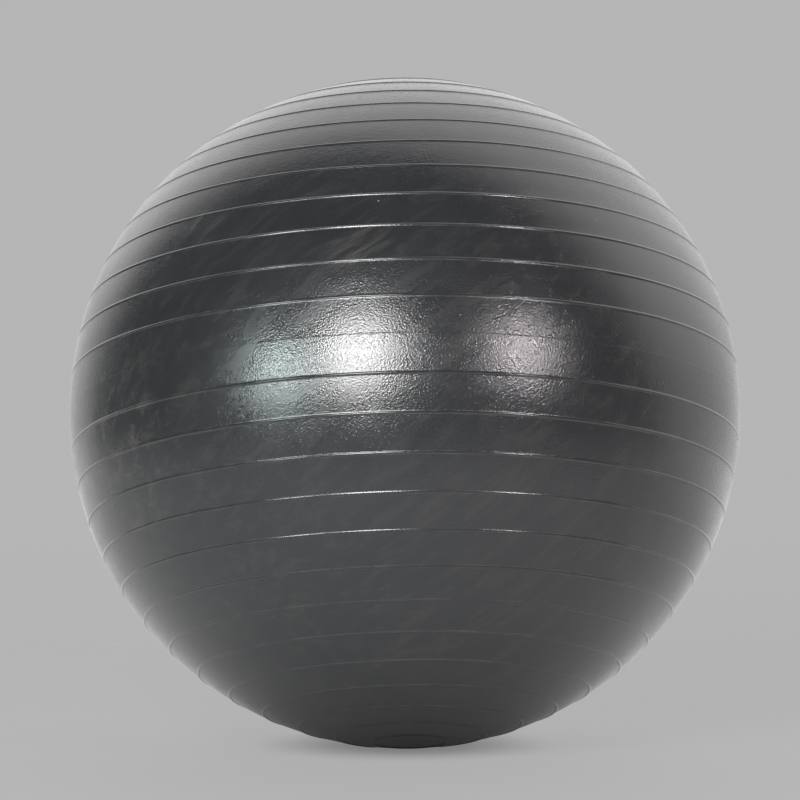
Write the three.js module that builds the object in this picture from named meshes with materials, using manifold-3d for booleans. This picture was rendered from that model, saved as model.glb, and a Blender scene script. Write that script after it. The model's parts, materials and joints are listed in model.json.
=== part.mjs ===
// An inflated exercise ball, in millimetres, standing on the plane z = 0 with +Z up.
// It is a thin ribbed PVC skin, a soft valve seat welded into the skin at one pole, and the
// plug that closes the seat. The ribs are rings round the line between the poles, which leans
// back a little from upright, because a ball stops rolling where it likes.

import * as THREE from "three";
import { mergeVertices } from "three/addons/utils/BufferGeometryUtils.js";
import Module from "manifold-3d";

// Ball
const BALL_RADIUS = 325; // to the skin between the ribs
const WALL = 0.9; // thickness of the inflated skin
const CONTACT_RADIUS = 38; // the flat that the ball's own weight presses on the floor
const LEAN_BACK = THREE.MathUtils.degToRad(16); // of the pole line, towards +Y
const LEAN_SIDE = THREE.MathUtils.degToRad(1); // of the pole line, towards -X

// Ribs: rings at equal angles, none on the equator and none on the smooth cap round each pole
const BANDS_POLE_TO_POLE = 28;
const RIBS_PER_HALF = BANDS_POLE_TO_POLE / 2 - 1;
const RIB_WIDTH = 4;
const RIB_HEIGHT = 1;

// Valve seat: a disc that fills the skin's hole, a lip under the skin, and a boss with the bore
const SEAT_RADIUS = 13;
const SEAT_FACE_RISE = 0.2; // of the seat's face above the skin around it
const SEAT_LIP_RADIUS = 20;
const SEAT_LIP_THICKNESS = 1.6;
const BOSS_RADIUS = 8.6;
const BOSS_END_RADIUS = 7.2;
const BOSS_DEPTH = 20; // from the seat's face to the boss's inner end
const BORE_RADIUS = 4.6;
const RECESS_RADIUS = 8.2; // the pocket that takes the plug's head
const RECESS_DEPTH = 2;

// Plug
const HEAD_RADIUS = 7.5;
const HEAD_THICKNESS = 1.7;
const HEAD_EDGE = 0.5; // radius of the rounding along the head's rim
const STEM_RADIUS = 3.8;
const STEM_LENGTH = 23; // from under the head to the tip
const TIP_RADIUS = 2.6;
const SEAL_RINGS = 3;
const SEAL_RING_RADIUS = 4.3;
const SEAL_RING_PITCH = 4.5;
const SEAL_RING_LENGTH = 2.4;

const GAP = 0.3; // between pieces that touch
const SKIN_SEGMENTS = 40;
const VALVE_SEGMENTS = 32;
const ARC_STEPS = 4; // facets in a rounded corner

const centreHeight = Math.sqrt(BALL_RADIUS ** 2 - CONTACT_RADIUS ** 2);
const ribPitch = Math.PI / BANDS_POLE_TO_POLE;

const wasm = await Module();
wasm.setup();

const skinPvc = new THREE.MeshStandardMaterial({ color: 0x35373a, roughness: 0.42, metalness: 0 });
const seatPvc = new THREE.MeshStandardMaterial({ color: 0x2b2d2f, roughness: 0.55, metalness: 0 });
const plugPlastic = new THREE.MeshStandardMaterial({ color: 0xe4e3dd, roughness: 0.4, metalness: 0 });

// A closed geometry as a manifold-3d solid.
function solidOf(geometry) {
  const bare = geometry.clone();
  bare.deleteAttribute("normal");
  bare.deleteAttribute("uv");
  const merged = mergeVertices(bare, 1e-4);
  return new wasm.Manifold(
    new wasm.Mesh({
      numProp: 3,
      vertProperties: new Float32Array(merged.attributes.position.array),
      triVerts: new Uint32Array(merged.index.array),
    }),
  );
}

// A manifold-3d solid as a flat-shaded geometry.
function geometryOf(solid) {
  const mesh = solid.getMesh();
  const indexed = new THREE.BufferGeometry();
  indexed.setAttribute("position", new THREE.BufferAttribute(new Float32Array(mesh.vertProperties), 3));
  indexed.setIndex(new THREE.BufferAttribute(new Uint32Array(mesh.triVerts), 1));
  const geometry = indexed.toNonIndexed();
  geometry.computeVertexNormals();
  return geometry;
}

// A point of a lathe outline, at this angle above the equator and this far from the centre.
function onCircle(angle, radius) {
  return new THREE.Vector2(radius * Math.cos(angle), radius * Math.sin(angle));
}

// How far the ball's surface has dropped below its pole at this distance from the pole line.
function dropAt(distance) {
  return BALL_RADIUS - Math.sqrt(BALL_RADIUS ** 2 - distance ** 2);
}

// The outline of a ball from pole to pole, given its points from the lowest rib to the highest.
// The smooth caps get two points of their own, so that the skin is round where the seat meets it.
function ballOutline(ribPoints, radius) {
  const capAngles = [SEAT_RADIUS, SEAT_LIP_RADIUS].map((distance) => Math.acos(distance / BALL_RADIUS));
  return [
    new THREE.Vector2(0, -radius),
    ...capAngles.map((angle) => onCircle(-angle, radius)),
    ...ribPoints,
    ...capAngles.map((angle) => onCircle(angle, radius)).reverse(),
    new THREE.Vector2(0, radius),
  ];
}

// What pointsOf gives for each band edge from the lowest rib to the highest. Number 0 is the equator.
function alongRibs(pointsOf) {
  const points = [];
  for (let number = -RIBS_PER_HALF; number <= RIBS_PER_HALF; number++) {
    points.push(...pointsOf(number));
  }
  return points;
}

function outsideOfSkin() {
  const halfWidth = RIB_WIDTH / 2 / BALL_RADIUS;
  const ribPoints = alongRibs((number) => {
    if (number === 0) return [onCircle(0, BALL_RADIUS)];
    return [
      onCircle(number * ribPitch - halfWidth, BALL_RADIUS),
      onCircle(number * ribPitch, BALL_RADIUS + RIB_HEIGHT),
      onCircle(number * ribPitch + halfWidth, BALL_RADIUS),
    ];
  });
  return new THREE.LatheGeometry(ballOutline(ribPoints, BALL_RADIUS), SKIN_SEGMENTS);
}

function insideOfSkin() {
  const radius = BALL_RADIUS - WALL;
  const ribPoints = alongRibs((number) => [onCircle(number * ribPitch, radius)]);
  return new THREE.LatheGeometry(ballOutline(ribPoints, radius), SKIN_SEGMENTS);
}

// The hole for the valve seat, at the upper pole.
function valveHole() {
  const radius = SEAT_RADIUS + GAP;
  const hole = new THREE.CylinderGeometry(radius, radius, SEAT_LIP_RADIUS, VALVE_SEGMENTS);
  return hole.translate(0, BALL_RADIUS, 0);
}

// A block whose top face is this far above the ball's centre.
function blockBelow(height) {
  const block = new THREE.BoxGeometry(BALL_RADIUS, BALL_RADIUS, BALL_RADIUS);
  return block.translate(0, 0, height - BALL_RADIUS / 2);
}

// The skin about the ball's centre: hollow, holed for the valve seat, and flat where it rests.
function skinGeometry(turn) {
  const floor = -centreHeight;
  const air = solidOf(insideOfSkin().applyQuaternion(turn)).subtract(solidOf(blockBelow(floor + WALL)));
  return geometryOf(
    solidOf(outsideOfSkin().applyQuaternion(turn))
      .subtract(solidOf(blockBelow(floor)))
      .subtract(air)
      .subtract(solidOf(valveHole().applyQuaternion(turn))),
  );
}

// Points along an arc about (x, y), from one angle to another.
function arc(x, y, radius, from, to) {
  const points = [];
  for (let step = 0; step <= ARC_STEPS; step++) {
    const angle = from + ((to - from) * step) / ARC_STEPS;
    points.push(new THREE.Vector2(x + radius * Math.cos(angle), y + radius * Math.sin(angle)));
  }
  return points;
}

// The valve seat, with y = 0 at the ball's surface at the pole and +Y outwards.
function seatGeometry() {
  const lipTopAt = (distance) => -(dropAt(distance) + WALL + GAP);
  const lipBottom = lipTopAt(SEAT_LIP_RADIUS) - SEAT_LIP_THICKNESS;
  const bossEnd = SEAT_FACE_RISE - BOSS_DEPTH;
  const recessFloor = SEAT_FACE_RISE - RECESS_DEPTH;
  const outline = [
    [BORE_RADIUS, bossEnd],
    [BOSS_END_RADIUS, bossEnd],
    [BOSS_RADIUS, lipBottom],
    [SEAT_LIP_RADIUS, lipBottom],
    [SEAT_LIP_RADIUS, lipTopAt(SEAT_LIP_RADIUS)],
    [SEAT_RADIUS, lipTopAt(SEAT_RADIUS)],
    [SEAT_RADIUS, SEAT_FACE_RISE],
    [RECESS_RADIUS, SEAT_FACE_RISE],
    [RECESS_RADIUS, recessFloor],
    [BORE_RADIUS, recessFloor],
    [BORE_RADIUS, bossEnd],
  ];
  return new THREE.LatheGeometry(
    outline.map(([x, y]) => new THREE.Vector2(x, y)),
    VALVE_SEGMENTS,
  );
}

// One sealing ring of the plug: it widens slowly from its lower end and steps back at its top.
function sealRing(number) {
  const top = -SEAL_RING_PITCH * (number + 0.5);
  return [
    new THREE.Vector2(STEM_RADIUS, top - SEAL_RING_LENGTH),
    new THREE.Vector2(SEAL_RING_RADIUS, top),
    new THREE.Vector2(STEM_RADIUS, top),
  ];
}

// The plug, with y = 0 under its head and +Y outwards.
function plugGeometry() {
  const quarter = Math.PI / 2;
  const outline = [
    new THREE.Vector2(0, -STEM_LENGTH),
    ...arc(0, TIP_RADIUS - STEM_LENGTH, TIP_RADIUS, -quarter, 0).slice(1),
  ];
  for (let number = SEAL_RINGS - 1; number >= 0; number--) {
    outline.push(...sealRing(number));
  }
  outline.push(
    new THREE.Vector2(STEM_RADIUS, 0),
    ...arc(HEAD_RADIUS - HEAD_EDGE, HEAD_EDGE, HEAD_EDGE, -quarter, 0),
    ...arc(HEAD_RADIUS - HEAD_EDGE, HEAD_THICKNESS - HEAD_EDGE, HEAD_EDGE, 0, quarter),
    new THREE.Vector2(0, HEAD_THICKNESS),
  );
  return new THREE.LatheGeometry(outline, VALVE_SEGMENTS);
}

function part(name, geometry, material) {
  const mesh = new THREE.Mesh(geometry, material);
  mesh.name = name;
  return mesh;
}

// The direction from the ball's centre to the pole that holds the valve.
const poleDirection = new THREE.Vector3(0, 0, 1)
  .applyAxisAngle(new THREE.Vector3(1, 0, 0), -LEAN_BACK)
  .applyAxisAngle(new THREE.Vector3(0, 1, 0), -LEAN_SIDE);
const poleTurn = new THREE.Quaternion().setFromUnitVectors(new THREE.Vector3(0, 1, 0), poleDirection);

const plug = part("valve_plug", plugGeometry(), plugPlastic);
plug.position.y = SEAT_FACE_RISE - RECESS_DEPTH + GAP;

const valve = new THREE.Group();
valve.quaternion.copy(poleTurn);
valve.position.copy(poleDirection).multiplyScalar(BALL_RADIUS);
valve.add(part("valve_seat", seatGeometry(), seatPvc), plug);

const exerciseBall = new THREE.Group();
exerciseBall.position.z = centreHeight;
exerciseBall.add(part("ball_skin", skinGeometry(poleTurn), skinPvc), valve);

export default exerciseBall;
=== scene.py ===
"""An inflated exercise ball of charcoal PVC on a pale studio floor.

The skin, the valve seat and the plug replace the faceted CAD solids with smooth meshes that have the
same dimensions to within half a millimetre. Each is made in its own coordinates with the pole line
along +Z, and is then turned onto the pole line that the plug's joint gives.
"""

import json
import math

import bpy
import numpy as np
from mathutils import Matrix, Vector, noise


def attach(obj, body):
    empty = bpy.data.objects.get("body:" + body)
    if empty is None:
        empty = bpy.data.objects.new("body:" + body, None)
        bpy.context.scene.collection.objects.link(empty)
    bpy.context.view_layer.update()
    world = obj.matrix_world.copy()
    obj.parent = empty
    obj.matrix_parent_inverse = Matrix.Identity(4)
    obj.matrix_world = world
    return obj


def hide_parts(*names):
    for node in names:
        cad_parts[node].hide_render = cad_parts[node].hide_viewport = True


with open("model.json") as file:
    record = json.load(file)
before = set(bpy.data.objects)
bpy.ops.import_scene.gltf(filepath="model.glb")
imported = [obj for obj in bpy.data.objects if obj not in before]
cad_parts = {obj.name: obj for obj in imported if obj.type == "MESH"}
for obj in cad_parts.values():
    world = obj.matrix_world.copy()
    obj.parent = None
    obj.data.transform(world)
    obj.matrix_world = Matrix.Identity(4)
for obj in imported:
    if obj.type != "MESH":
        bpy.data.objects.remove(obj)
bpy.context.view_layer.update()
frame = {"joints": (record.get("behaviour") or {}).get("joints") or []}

MM = 0.001

# The ball, as the CAD model has it
BALL_RADIUS = 325 * MM
WALL = 0.9 * MM
CONTACT_RADIUS = 38 * MM
BANDS_POLE_TO_POLE = 28
RIBS_PER_HALF = BANDS_POLE_TO_POLE // 2 - 1
RIB_PITCH = math.pi / BANDS_POLE_TO_POLE
CENTRE = Vector((0, 0, math.sqrt(BALL_RADIUS**2 - CONTACT_RADIUS**2)))
POLE = Vector(frame["joints"][0]["axis"]).normalized()
TURN = Vector((0, 0, 1)).rotation_difference(POLE)

# The valve, as the CAD model has it
GAP = 0.3 * MM
SEAT_RADIUS = 13 * MM
SEAT_FACE_RISE = 0.2 * MM
SEAT_LIP_RADIUS = 20 * MM
SEAT_LIP_THICKNESS = 1.6 * MM
BOSS_RADIUS = 8.6 * MM
BOSS_END_RADIUS = 7.2 * MM
BOSS_DEPTH = 20 * MM
BORE_RADIUS = 4.6 * MM
RECESS_RADIUS = 8.2 * MM
RECESS_DEPTH = 2 * MM
HEAD_RADIUS = 7.5 * MM
HEAD_THICKNESS = 1.7 * MM
STEM_RADIUS = 3.8 * MM
STEM_LENGTH = 23 * MM
TIP_RADIUS = 2.6 * MM
SEAL_RINGS = 3
SEAL_RING_RADIUS = 4.3 * MM
SEAL_RING_PITCH = 4.5 * MM
SEAL_RING_LENGTH = 2.4 * MM

# Fine shape that the CAD model leaves out
SETBACK = 0.35 * MM  # of the skin, so that its fine shape stays inside the CAD model's size
RIB_WIDTH = 4.0 * MM  # with the fillets at its feet
RIB_HEIGHT = 0.8 * MM  # rounder, so a little lower, than the CAD model's ribs
PARTING_WIDTH = 1.2 * MM
PARTING_HEIGHT = 0.10 * MM
BAND_BULGE = 0.04 * MM  # of the skin between two ribs, which are stiffer
LUMP_HEIGHT = 0.15 * MM
LUMP_LENGTH = 90 * MM
RIB_WANDER = 1.1 * MM  # of the ribs from true rings
WANDER_LENGTH = 260 * MM

SKIN_SEGMENTS = 192
VALVE_SEGMENTS = 96
RIB_ROWS = 11
BEYOND_FOOT = (0.4 * MM, 1.2 * MM)  # where there are rows of points just outside a ridge
GAP_ROWS = 2  # between two ribs
INNER_ROWS = 24
ARC_STEPS = 5


# --- camera ------------------------------------------------------------------------------------

CAMERA_RISE = math.radians(3)  # above the horizon, as seen from the ball
CAMERA_DISTANCE = 16 * BALL_RADIUS
BALL_SHARE = 0.839  # of the frame's width that the ball fills
BALL_OFFSET = (0.006, 0.0165)  # of the ball's centre, right of and below the frame's, as shares of it
SENSOR = 36.0


def make_camera():
    data = bpy.data.cameras.new("camera")
    camera = bpy.data.objects.new("camera", data)
    bpy.context.scene.collection.objects.link(camera)
    towards = Vector((0, -math.cos(CAMERA_RISE), math.sin(CAMERA_RISE)))
    camera.location = CENTRE + towards * CAMERA_DISTANCE
    camera.rotation_euler = (math.pi / 2 - CAMERA_RISE, 0, 0)
    data.sensor_width = SENSOR
    tangent_share = math.sqrt((CAMERA_DISTANCE / BALL_RADIUS) ** 2 - 1)
    data.lens = SENSOR * BALL_SHARE / 2 * tangent_share
    data.shift_x = -BALL_OFFSET[0]
    data.shift_y = BALL_OFFSET[1]
    bpy.context.scene.camera = camera


# --- mesh helpers ------------------------------------------------------------------------------


def rings(radii, heights, segments):
    """Points on rings round +Z: an array of rows, segments and x, y, z."""
    around = np.arange(segments) * 2 * math.pi / segments
    radii, heights = np.asarray(radii)[:, None], np.asarray(heights)[:, None]
    points = [radii * np.cos(around), radii * np.sin(around), heights + 0 * around]
    return np.stack(points, axis=-1)


def rings_on_ball(latitudes, radius, segments):
    return rings(radius * np.cos(latitudes), radius * np.sin(latitudes), segments)


def mesh_of_rings(name, grid, closed_loop=False, **values):
    """A smooth mesh from rings of points. A ring with no width closes in one point. values are
    arrays of one number for each point, kept on the mesh as attributes."""
    rows, segments, _ = grid.shape
    chosen, index = [], np.zeros((rows, segments), int)
    for row in range(rows):
        at_pole = np.ptp(grid[row], axis=0).max() < 0.001 * MM
        count = 1 if at_pole else segments
        index[row] = len(chosen) + np.arange(segments) % count
        chosen += [(row, segment) for segment in range(count)]
    faces = []
    for row in range(rows if closed_loop else rows - 1):
        low, high = index[row], index[(row + 1) % rows]
        for here in range(segments):
            there = (here + 1) % segments
            corners = [low[here], low[there], high[there], high[here]]
            faces.append([int(c) for n, c in enumerate(corners) if c not in corners[:n]])
    at = tuple(np.array(chosen).T)
    mesh = bpy.data.meshes.new(name)
    mesh.from_pydata(grid[at].tolist(), [], faces)
    mesh.shade_smooth()
    for key, array in values.items():
        made = mesh.attributes.new(key, "FLOAT", "POINT")
        made.data.foreach_set("value", array[at].astype(np.float32))
    piece = bpy.data.objects.new(name, mesh)
    bpy.context.scene.collection.objects.link(piece)
    return piece


def arc(x, y, radius, start, end):
    """Points along an arc about (x, y), from one angle in degrees to another."""
    angles = np.radians(np.linspace(start, end, ARC_STEPS))
    return [(x + radius * math.cos(a), y + radius * math.sin(a)) for a in angles]


def place(piece, body, node, outwards=0.0):
    """Turns a piece's mesh onto the pole line, this far from the ball's centre, and joins it to the
    frame."""
    piece.data.transform(TURN.to_matrix().to_4x4())
    piece.data.transform(Matrix.Translation(CENTRE + POLE * outwards))
    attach(piece, body)
    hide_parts(node)


def slow_noise(points, length, seed):
    """A smooth value from about -1 to 1 at each point, changing over this length."""
    shift = Vector((seed, 2 * seed, 3 * seed))
    flat = points.reshape(-1, 3) / length
    return np.array([noise.noise(Vector(p) + shift) for p in flat]).reshape(points.shape[:-1])


# --- skin --------------------------------------------------------------------------------------

HOLE_LATITUDE = math.acos((SEAT_RADIUS + GAP) / BALL_RADIUS)


def rows_across(width):
    """Rows across a ridge this wide and just beyond its feet, so that smooth shading ends there."""
    half = width / 2
    across = np.linspace(-half, half, RIB_ROWS)
    beyond = half + np.array(BEYOND_FOOT)
    return np.concatenate([-beyond[::-1], across, beyond]) / BALL_RADIUS


def skin_latitudes():
    """The latitudes of the skin's rows outside, from the lower pole to the hole for the seat."""
    groups = [np.array([-math.pi / 2])]
    for number in range(-RIBS_PER_HALF, RIBS_PER_HALF + 1):
        groups.append(number * RIB_PITCH + rows_across(RIB_WIDTH if number else PARTING_WIDTH))
    groups.append(np.array([HOLE_LATITUDE]))
    found = [groups[0]]
    for lower, upper in zip(groups, groups[1:]):
        between = np.linspace(lower[-1], upper[0], GAP_ROWS + 2)[1:-1]
        found += [between, upper]
    return np.concatenate(found)


def ridge(offset, width):
    """A rounded ridge's share of its height at this distance from its middle."""
    return np.where(np.abs(offset) < width / 2, np.cos(math.pi * offset / width) ** 2, 0)


def rib_share(latitude):
    number = np.rint(latitude / RIB_PITCH)
    is_rib = (number != 0) & (np.abs(number) <= RIBS_PER_HALF)
    return is_rib * ridge((latitude - number * RIB_PITCH) * BALL_RADIUS, RIB_WIDTH)


def band_share(latitude):
    """How far across a band between two ribs: 0 at the ribs and 1 halfway. The equator's is double."""
    in_band = latitude / RIB_PITCH
    double = np.cos(in_band * math.pi / 2) ** 2
    return np.where(np.abs(in_band) < 1, double, np.sin(in_band * math.pi) ** 2)


def pressed_flat(grid, floor):
    """The points, with those that would be under this height pressed up to it."""
    turn = np.array(TURN.to_matrix())
    level = grid @ turn.T
    level[..., 2] = np.maximum(level[..., 2], floor - CENTRE.z)
    return level @ turn


def make_skin():
    latitudes = skin_latitudes()
    outside = rings_on_ball(latitudes, BALL_RADIUS - SETBACK, SKIN_SEGMENTS)
    fade = np.clip((HOLE_LATITUDE - np.abs(latitudes)) / RIB_PITCH, 0, 1)[:, None]
    wander = slow_noise(outside, WANDER_LENGTH, 3) * RIB_WANDER / BALL_RADIUS
    wandered = latitudes[:, None] + wander * fade
    rib = rib_share(wandered)
    rise = rib * RIB_HEIGHT + band_share(wandered) * BAND_BULGE
    rise += ridge(wandered * BALL_RADIUS, PARTING_WIDTH) * PARTING_HEIGHT
    rise += slow_noise(outside, LUMP_LENGTH, 7) * LUMP_HEIGHT * fade
    outside *= 1 + rise[..., None] / BALL_RADIUS
    inner_latitudes = np.linspace(HOLE_LATITUDE, -math.pi / 2, INNER_ROWS)
    inside = rings_on_ball(inner_latitudes, BALL_RADIUS - WALL - SETBACK, SKIN_SEGMENTS)
    grid = np.concatenate([pressed_flat(outside, 0.01 * MM), pressed_flat(inside, WALL)])
    rib = np.concatenate([rib, np.zeros(inside.shape[:2])])
    skin = mesh_of_rings("skin", grid, rib=rib)
    place(skin, "ball", "ball_skin")
    return skin


# --- valve -------------------------------------------------------------------------------------


def drop_at(distance):
    """How far the ball's surface has dropped below its pole at this distance from the pole line."""
    return BALL_RADIUS - math.sqrt(BALL_RADIUS**2 - distance**2)


def make_seat():
    """The valve seat, with z = 0 at the ball's surface at the pole."""
    edge = 0.5 * MM
    lip_edge = SEAT_LIP_THICKNESS / 2
    lip_bottom = -(drop_at(SEAT_LIP_RADIUS) + WALL + GAP) - SEAT_LIP_THICKNESS
    boss_end = SEAT_FACE_RISE - BOSS_DEPTH
    recess_floor = SEAT_FACE_RISE - RECESS_DEPTH
    guard_ring = (RECESS_RADIUS + SEAT_RADIUS) / 2
    outline = [
        *arc(BORE_RADIUS + edge, boss_end + edge, edge, 180, 270),
        *arc(BOSS_END_RADIUS - edge, boss_end + edge, edge, 270, 360),
        *arc(BOSS_RADIUS + edge, lip_bottom - edge, edge, 180, 90),
        *arc(SEAT_LIP_RADIUS - lip_edge, lip_bottom + lip_edge, lip_edge, 270, 450),
        (SEAT_RADIUS, -(drop_at(SEAT_RADIUS) + WALL + GAP)),
        *arc(SEAT_RADIUS - edge, SEAT_FACE_RISE - edge, edge, 0, 90),
        *arc(guard_ring, SEAT_FACE_RISE, edge, 0, 180),
        *arc(RECESS_RADIUS + edge / 2, SEAT_FACE_RISE - edge / 2, edge / 2, 90, 180),
        *arc(RECESS_RADIUS - edge, recess_floor + edge, edge, 360, 270),
        *arc(BORE_RADIUS + edge / 2, recess_floor - edge / 2, edge / 2, 90, 180),
    ]
    radii, heights = zip(*outline)
    grid = rings(radii, heights, VALVE_SEGMENTS)
    seat = mesh_of_rings("seat", grid, closed_loop=True, across=np.hypot(grid[..., 0], grid[..., 1]))
    place(seat, "ball", "valve_seat", BALL_RADIUS)
    return seat


def seal_ring(number):
    top = -SEAL_RING_PITCH * (number + 0.5)
    edge = 0.15 * MM
    return [
        (STEM_RADIUS, top - SEAL_RING_LENGTH),
        *arc(SEAL_RING_RADIUS - edge, top - edge, edge, 0, 90),
        (STEM_RADIUS, top),
    ]


def make_plug():
    """The plug, with z = 0 under its head. The head's top is dished and has a low button in it."""
    edge = 0.5 * MM
    dish_floor = HEAD_THICKNESS - 0.35 * MM
    dish_step = HEAD_THICKNESS - 0.21 * MM
    outline = [*arc(0, TIP_RADIUS - STEM_LENGTH, TIP_RADIUS, 270, 360)]
    for number in reversed(range(SEAL_RINGS)):
        outline += seal_ring(number)
    outline += [
        *arc(STEM_RADIUS + edge, -edge, edge, 180, 90),
        *arc(HEAD_RADIUS - edge, edge, edge, 270, 360),
        *arc(HEAD_RADIUS - edge, HEAD_THICKNESS - edge, edge, 0, 90),
        (HEAD_RADIUS * 0.62, HEAD_THICKNESS),
        (HEAD_RADIUS * 0.55, dish_step),
        (HEAD_RADIUS * 0.45, dish_floor),
        (HEAD_RADIUS * 0.15, dish_floor),
        (HEAD_RADIUS * 0.10, dish_step),
        (0, dish_step),
    ]
    radii, heights = zip(*outline)
    plug = mesh_of_rings("plug", rings(radii, heights, VALVE_SEGMENTS))
    place(plug, "plug", "valve_plug", BALL_RADIUS + SEAT_FACE_RISE - RECESS_DEPTH + GAP)
    return plug


# --- materials ---------------------------------------------------------------------------------

CHARCOAL = ((0.0094, 0.0100, 0.0110), (0.0162, 0.0165, 0.0180))
FILM_COLOUR = (0.064, 0.060, 0.053)  # of the thin greyish film that wiping leaves
DUST_COLOUR = (0.080, 0.078, 0.072)
SPECK_COLOUR = (0.28, 0.27, 0.26)
SOFT_BLACK = (0.017, 0.018, 0.019)
SEAT_DUST_COLOUR = (0.07, 0.068, 0.064)
OFF_WHITE = ((0.70, 0.69, 0.63), (0.78, 0.77, 0.72))
SCUFF_COLOUR = (0.42, 0.41, 0.38)

STREAK_STRETCH = 7  # the length of a wiped streak over its width
PEBBLE_LENGTH = 1.9 * MM
GRAIN_LENGTH = 1.5 * MM
GRAIN_HEIGHT = 0.24 * MM
TURNED_RING_PITCH = 0.8 * MM  # of the marks that a turned mould leaves on the seat

# Rubbed or smeared patches of the skin: degrees right of the side that faces the camera, degrees
# above the parting line, and reach
MARKS = (
    (-38, 23, 30 * MM),
    (-7, 16, 45 * MM),
    (-60, -12, 120 * MM),
    (48, 34, 90 * MM),
    (-8, 52, 60 * MM),
    (152, 18, 110 * MM),
    (-140, -20, 80 * MM),
)


def node(tree, kind, inputs=None, **settings):
    """A shader node. inputs maps socket names or numbers to values or to another node's output."""
    made = tree.nodes.new("ShaderNode" + kind)
    for key, value in settings.items():
        setattr(made, key, value)
    for key, value in (inputs or {}).items():
        if isinstance(value, bpy.types.NodeSocket):
            tree.links.new(value, made.inputs[key])
        else:
            made.inputs[key].default_value = value
    return made


def math_node(tree, operation, *values):
    return node(tree, "Math", dict(enumerate(values)), operation=operation).outputs[0]


def object_point(tree):
    """The shaded point, in the object's own coordinates."""
    return node(tree, "TexCoord").outputs["Object"]


def pattern(tree, where, length, detail=3.0, roughness=0.55, distortion=0.0):
    """Noise from 0 to 1 whose features are about this long."""
    inputs = {
        "Vector": where,
        "Scale": 1 / length,
        "Detail": detail,
        "Roughness": roughness,
        "Distortion": distortion,
    }
    return node(tree, "TexNoise", inputs).outputs["Fac"]


def ramp(tree, value, low, high, start=0.0, end=1.0):
    """value mapped from low..high to start..end, and no further."""
    inputs = {"Value": value, "From Min": low, "From Max": high, "To Min": start, "To Max": end}
    return node(tree, "MapRange", inputs, interpolation_type="SMOOTHSTEP").outputs[0]


def mixed(tree, share, first, second):
    """A colour between two others."""
    made = node(tree, "Mix", {"Factor": share}, data_type="RGBA")
    for socket, value in ((made.inputs[6], first), (made.inputs[7], second)):
        if isinstance(value, bpy.types.NodeSocket):
            tree.links.new(value, socket)
        else:
            socket.default_value = (*value, 1)
    return made.outputs[2]


def new_material(name):
    material = bpy.data.materials.new(name)
    material.use_nodes = True
    tree = material.node_tree
    return material, tree, tree.nodes["Principled BSDF"]


def bumped(tree, layers):
    """The normal after bumps of (height from 0 to 1, its full height in metres), one on another."""
    normal = None
    for height, distance in layers:
        inputs = {"Height": height, "Distance": distance, "Strength": 1.0}
        if normal is not None:
            inputs["Normal"] = normal
        normal = node(tree, "Bump", inputs).outputs[0]
    return normal


def wiped(tree, where, turn, length):
    """Long faint streaks, as a cloth leaves: noise that is drawn out along one direction."""
    inputs = {"Vector": where, "Rotation": turn, "Scale": (1, 1, STREAK_STRETCH)}
    drawn_out = node(tree, "Mapping", inputs, vector_type="TEXTURE").outputs[0]
    return pattern(tree, drawn_out, length, detail=4, roughness=0.65, distortion=0.6)


def specks(tree, where, spacing, size, share):
    """1 on small dots. There is room for one in each cell of this size, and this share have one."""
    cells = node(tree, "TexVoronoi", {"Vector": where, "Scale": 1 / spacing})
    chance = node(tree, "SeparateColor", {"Color": cells.outputs["Color"]}).outputs[0]
    radius = size / 2 / spacing
    dot = ramp(tree, cells.outputs["Distance"], radius * 0.6, radius, 1, 0)
    return math_node(tree, "MULTIPLY", dot, math_node(tree, "LESS_THAN", chance, share))


def marks(tree, where):
    """1 in the soft patches where the skin has been rubbed or smeared."""
    most = 0.0
    for longitude, latitude, size in MARKS:
        around, up = math.radians(longitude), math.radians(latitude)
        level = math.cos(up)
        out = Vector((level * math.sin(around), -level * math.cos(around), math.sin(up)))
        place_on_ball = CENTRE + TURN @ out * BALL_RADIUS
        away = node(tree, "VectorMath", {0: where, 1: place_on_ball}, operation="DISTANCE")
        patch = ramp(tree, away.outputs["Value"], size * 0.2, size, 1, 0)
        most = math_node(tree, "MAXIMUM", patch, most)
    return most


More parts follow.
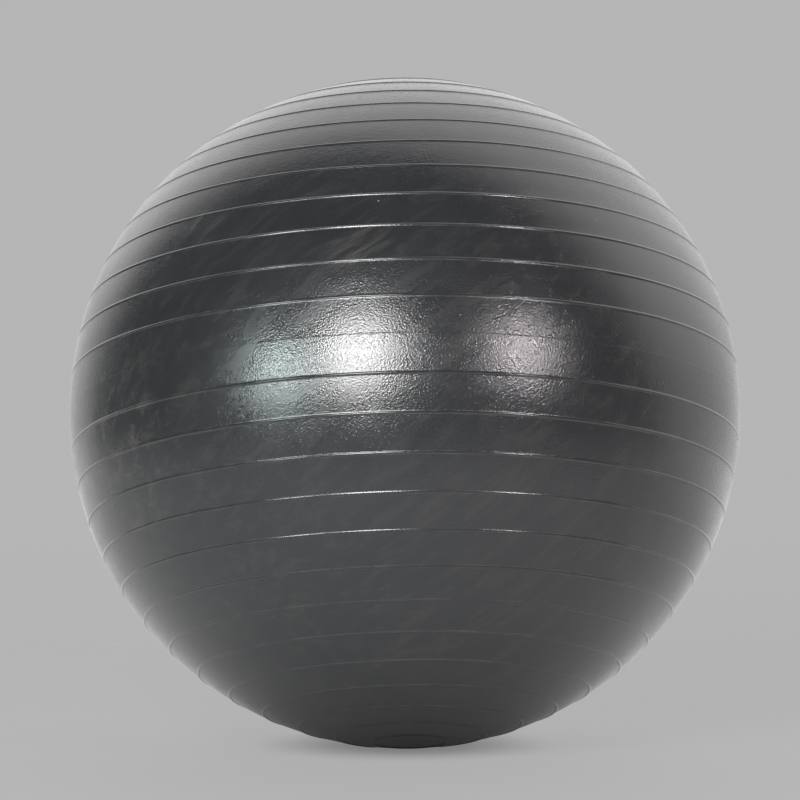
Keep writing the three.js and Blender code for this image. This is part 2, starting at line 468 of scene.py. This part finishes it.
def skin_material():
    """Charcoal PVC from a blasted mould: fine grain, faint mottling, wipe marks, dust and specks."""
    material, tree, surface = new_material("charcoal_pvc")
    where = object_point(tree)
    rib = node(tree, "Attribute", attribute_name="rib").outputs["Fac"]

    mottle = pattern(tree, where, 70 * MM, detail=5)
    streaks = ramp(tree, wiped(tree, where, (0.2, 0.9, 0.3), 14 * MM), 0.45, 0.70)
    cross_streaks = ramp(tree, wiped(tree, where, (0.9, -0.7, 0.5), 9 * MM), 0.58, 0.80)
    film = math_node(tree, "MAXIMUM", streaks, math_node(tree, "MULTIPLY", cross_streaks, 0.7))
    rubbed = math_node(tree, "MULTIPLY", streaks, marks(tree, where))
    film = math_node(tree, "MULTIPLY_ADD", film, 0.4, rubbed)
    patchy = ramp(tree, pattern(tree, where, 25 * MM, detail=4), 0.35, 0.7)
    foot = math_node(tree, "MULTIPLY", ramp(tree, rib, 0.01, 0.12), ramp(tree, rib, 0.2, 0.5, 1, 0))
    foot_dust = math_node(tree, "MULTIPLY", foot, patchy)
    crest = ramp(tree, rib, 0.6, 0.95)
    dots = specks(tree, where, 34 * MM, 1.6 * MM, 0.35)

    colour = mixed(tree, mottle, *CHARCOAL)
    colour = mixed(tree, math_node(tree, "MULTIPLY", film, 0.26), colour, FILM_COLOUR)
    colour = mixed(tree, math_node(tree, "MULTIPLY", foot_dust, 0.35), colour, DUST_COLOUR)
    colour = mixed(tree, math_node(tree, "MULTIPLY", dots, 0.6), colour, SPECK_COLOUR)
    tree.links.new(colour, surface.inputs["Base Color"])

    roughness = ramp(tree, mottle, 0.3, 0.7, 0.19, 0.25)
    roughness = math_node(tree, "MULTIPLY_ADD", film, 0.05, roughness)
    roughness = math_node(tree, "MULTIPLY_ADD", foot_dust, 0.10, roughness)
    roughness = math_node(tree, "MULTIPLY_ADD", crest, -0.06, roughness)
    roughness = math_node(tree, "MULTIPLY_ADD", dots, 0.2, roughness)
    tree.links.new(roughness, surface.inputs["Roughness"])

    pebbles = node(tree, "TexVoronoi", {"Vector": where, "Scale": 1 / PEBBLE_LENGTH})
    fine = pattern(tree, where, GRAIN_LENGTH, detail=1)
    grain = math_node(tree, "MULTIPLY_ADD", pebbles.outputs["Distance"], 0.45, fine)
    grain = math_node(tree, "MULTIPLY", grain, ramp(tree, rib, 0.0, 0.4, 1, 0.25))
    layers = [
        (pattern(tree, where, 14 * MM, detail=2), 0.05 * MM),
        (grain, GRAIN_HEIGHT),
    ]
    tree.links.new(bumped(tree, layers), surface.inputs["Normal"])
    surface.inputs["IOR"].default_value = 1.5
    return material


def seat_material():
    """Soft matte PVC with the fine rings that a turned mould leaves."""
    material, tree, surface = new_material("soft_black_pvc")
    where = object_point(tree)
    across = node(tree, "Attribute", attribute_name="across").outputs["Fac"]
    turns = math_node(tree, "MULTIPLY", across, math.tau / TURNED_RING_PITCH)
    turned_rings = math_node(tree, "SINE", turns)
    grain = pattern(tree, where, 0.9 * MM, detail=3)
    dust = ramp(tree, pattern(tree, where, 6 * MM, detail=4), 0.5, 0.8)
    dusted = math_node(tree, "MULTIPLY", dust, 0.3)
    colour = mixed(tree, dusted, SOFT_BLACK, SEAT_DUST_COLOUR)
    tree.links.new(colour, surface.inputs["Base Color"])
    tree.links.new(ramp(tree, grain, 0.3, 0.7, 0.48, 0.62), surface.inputs["Roughness"])
    layers = [(turned_rings, 0.012 * MM), (grain, 0.04 * MM)]
    tree.links.new(bumped(tree, layers), surface.inputs["Normal"])
    return material


def plug_material():
    """Natural polyethylene: waxy, a little cloudy off-white, lightly scuffed."""
    material, tree, surface = new_material("natural_polyethylene")
    where = object_point(tree)
    cloud = pattern(tree, where, 5 * MM, detail=3)
    scuffs = ramp(tree, wiped(tree, where, (0.2, 1.4, 0.5), 2.5 * MM), 0.55, 0.75)
    colour = mixed(tree, cloud, *OFF_WHITE)
    colour = mixed(tree, math_node(tree, "MULTIPLY", scuffs, 0.25), colour, SCUFF_COLOUR)
    tree.links.new(colour, surface.inputs["Base Color"])
    tree.links.new(math_node(tree, "MULTIPLY_ADD", scuffs, 0.2, 0.34), surface.inputs["Roughness"])
    layers = [(cloud, 0.05 * MM), (pattern(tree, where, 0.7 * MM), 0.01 * MM)]
    tree.links.new(bumped(tree, layers), surface.inputs["Normal"])
    surface.inputs["Subsurface Weight"].default_value = 0.25
    surface.inputs["Subsurface Radius"].default_value = (1.0, 0.9, 0.7)
    surface.inputs["Subsurface Scale"].default_value = 1.5 * MM
    return material


# --- studio ------------------------------------------------------------------------------------

BACKDROP = (0.465, 0.465, 0.47)
FLOOR_COLOUR = (0.035, 0.035, 0.0354)
FLOOR_REACH = 3.0  # where the floor has faded into the backdrop
LAMP_DISTANCE = 3.0
BRIGHT_SIDE = Vector((0.32, 0.93, 0.19)).normalized()  # of the room: behind the ball and above it
BRIGHT_EDGE = (0.36, 0.52)  # the cosines, from its middle, where that side starts and is whole
BRIGHT = 1.85
DIM = 0.20  # in front of the ball, at the height of the camera
DIM_ABOVE = 0.05  # in front of the ball and above it
FLOOR_GLOW = 0.38  # of a floor that is lit from below too, as a light table is
SHADE_REACH = 0.16  # of the soft shade round the contact, as the camera sees it
SHADE_REACH_MIRRORED = 0.26  # as the ball's own reflections show it
BOUNCE = 0.55  # of the light that the floor sends up, away from the ball
BOUNCE_REACH = 2.5
BOUNCE_DARK = 0.08  # from the middle of the floor, where it sends none up
BOUNCE_FULL = 0.42  # where it sends all of it up


def make_world():
    """A room that is bright behind the ball and dim in front of it. The camera sees a plain backdrop."""
    world = bpy.data.worlds.new("studio")
    world.use_nodes = True
    bpy.context.scene.world = world
    tree = world.node_tree
    background = tree.nodes["Background"]
    direction = node(tree, "TexCoord").outputs["Generated"]
    facing = node(tree, "VectorMath", {0: direction, 1: BRIGHT_SIDE}, operation="DOT_PRODUCT")
    height = node(tree, "SeparateXYZ", {0: direction}).outputs["Z"]
    dim = ramp(tree, height, 0.0, 0.7, DIM, DIM_ABOVE)
    bright = ramp(tree, height, -0.1, 0.5, BRIGHT * 0.55, BRIGHT)
    light = ramp(tree, facing.outputs["Value"], *BRIGHT_EDGE, dim, bright)
    grey = node(tree, "CombineColor", {"Red": light, "Green": light, "Blue": light}).outputs[0]
    seen = node(tree, "LightPath").outputs["Is Camera Ray"]
    tree.links.new(mixed(tree, seen, grey, BACKDROP), background.inputs["Color"])


def disc(name, radius):
    """A flat disc round the origin."""
    bpy.ops.mesh.primitive_circle_add(vertices=96, radius=radius, fill_type="NGON")
    piece = bpy.context.object
    piece.name = name
    return piece


def distance_out(tree):
    """How far the shaded point is from the object's origin."""
    return node(tree, "VectorMath", {0: object_point(tree)}, operation="LENGTH").outputs["Value"]


def make_floor():
    """A pale floor that fades into the backdrop well behind the ball, so no horizon shows. Its
    brightness is mostly its own glow, and under the ball that glow is dimmed into a painted shadow,
    darker as the ball's reflections show it than as the camera sees it."""
    floor = disc("floor", FLOOR_REACH)
    material, tree, surface = new_material("pale_floor")
    reach = distance_out(tree)
    cloud = pattern(tree, object_point(tree), 0.5, detail=4)
    tint = mixed(tree, cloud, [c * 0.985 for c in FLOOR_COLOUR], [c * 1.015 for c in FLOOR_COLOUR])
    tree.links.new(tint, surface.inputs["Base Color"])
    surface.inputs["Roughness"].default_value = 0.9
    surface.inputs["Specular IOR Level"].default_value = 0.1
    surface.inputs["Emission Color"].default_value = (*BACKDROP, 1)
    # The glow is dimmed round the contact as a painted shadow: deeper in the ball's reflections, softer
    # where the camera sees the floor.
    painted_shadow_mirrored = ramp(tree, reach, CONTACT_RADIUS, SHADE_REACH_MIRRORED, 0.15, 1)
    painted_shadow_seen = ramp(tree, reach, CONTACT_RADIUS, SHADE_REACH, 0.55, 1)
    seen = node(tree, "LightPath").outputs["Is Camera Ray"]
    glow = math_node(tree, "MAXIMUM", painted_shadow_mirrored, math_node(tree, "MULTIPLY", seen, painted_shadow_seen))
    glow = math_node(tree, "MULTIPLY", glow, FLOOR_GLOW / BACKDROP[0])
    tree.links.new(glow, surface.inputs["Emission Strength"])
    tree.links.new(ramp(tree, reach, FLOOR_REACH * 0.15, FLOOR_REACH, 1, 0), surface.inputs["Alpha"])
    floor.data.materials.append(material)


def lamp(name, towards, distance, width, radiance, colour=(1, 1, 1)):
    """A soft round lamp in this direction from the ball, aimed at it and as bright as radiance."""
    data = bpy.data.lights.new(name, "AREA")
    data.shape = "DISK"
    data.size = width
    data.energy = radiance * math.pi * math.pi * (width / 2) ** 2
    data.color = colour
    light = bpy.data.objects.new(name, data)
    bpy.context.scene.collection.objects.link(light)
    light.location = CENTRE + towards * distance
    light.rotation_euler = towards.to_track_quat("Z", "Y").to_euler()
    light.visible_camera = False


def from_camera(right, up):
    """The direction this many degrees right of the camera and above its line of sight."""
    turn, rise = math.radians(right), math.radians(up) + CAMERA_RISE
    return Vector((math.cos(rise) * math.sin(turn), -math.cos(rise) * math.cos(turn), math.sin(rise)))


def make_bounce():
    """The light that a wide, bright floor sends up, less of it where the ball keeps the floor dark."""
    sheet = disc("bounce", BOUNCE_REACH)
    sheet.location.z = 1 * MM
    sheet.visible_camera = False
    sheet.visible_shadow = False
    material, tree, surface = new_material("bounce_light")
    reach = distance_out(tree)
    glow = ramp(tree, reach, BOUNCE_DARK, BOUNCE_FULL, 0, BOUNCE)
    under = node(tree, "NewGeometry").outputs["Backfacing"]
    glow = math_node(tree, "MULTIPLY", glow, math_node(tree, "SUBTRACT", 1.0, under))
    emission = node(tree, "Emission", {"Strength": glow}).outputs[0]
    clear = node(tree, "BsdfTransparent").outputs[0]
    both = node(tree, "AddShader", {0: emission, 1: clear}).outputs[0]
    tree.links.new(both, tree.nodes["Material Output"].inputs["Surface"])
    tree.nodes.remove(surface)
    sheet.data.materials.append(material)


def make_lights():
    lamp("key", from_camera(-15.2, 19), LAMP_DISTANCE, 1.15, 38)
    lamp("left", from_camera(-42, 11.5), LAMP_DISTANCE, 0.80, 31, (0.85, 1.0, 0.97))
    lamp("right", from_camera(40, 18), LAMP_DISTANCE, 0.42, 100, (1.0, 0.93, 0.95))
    make_bounce()


scene = bpy.context.scene
scene.view_settings.view_transform = "Standard"
make_camera()
make_world()
make_floor()
make_lights()

skin = make_skin()
seat = make_seat()
plug = make_plug()
skin.data.materials.append(skin_material())
seat.data.materials.append(seat_material())
plug.data.materials.append(plug_material())
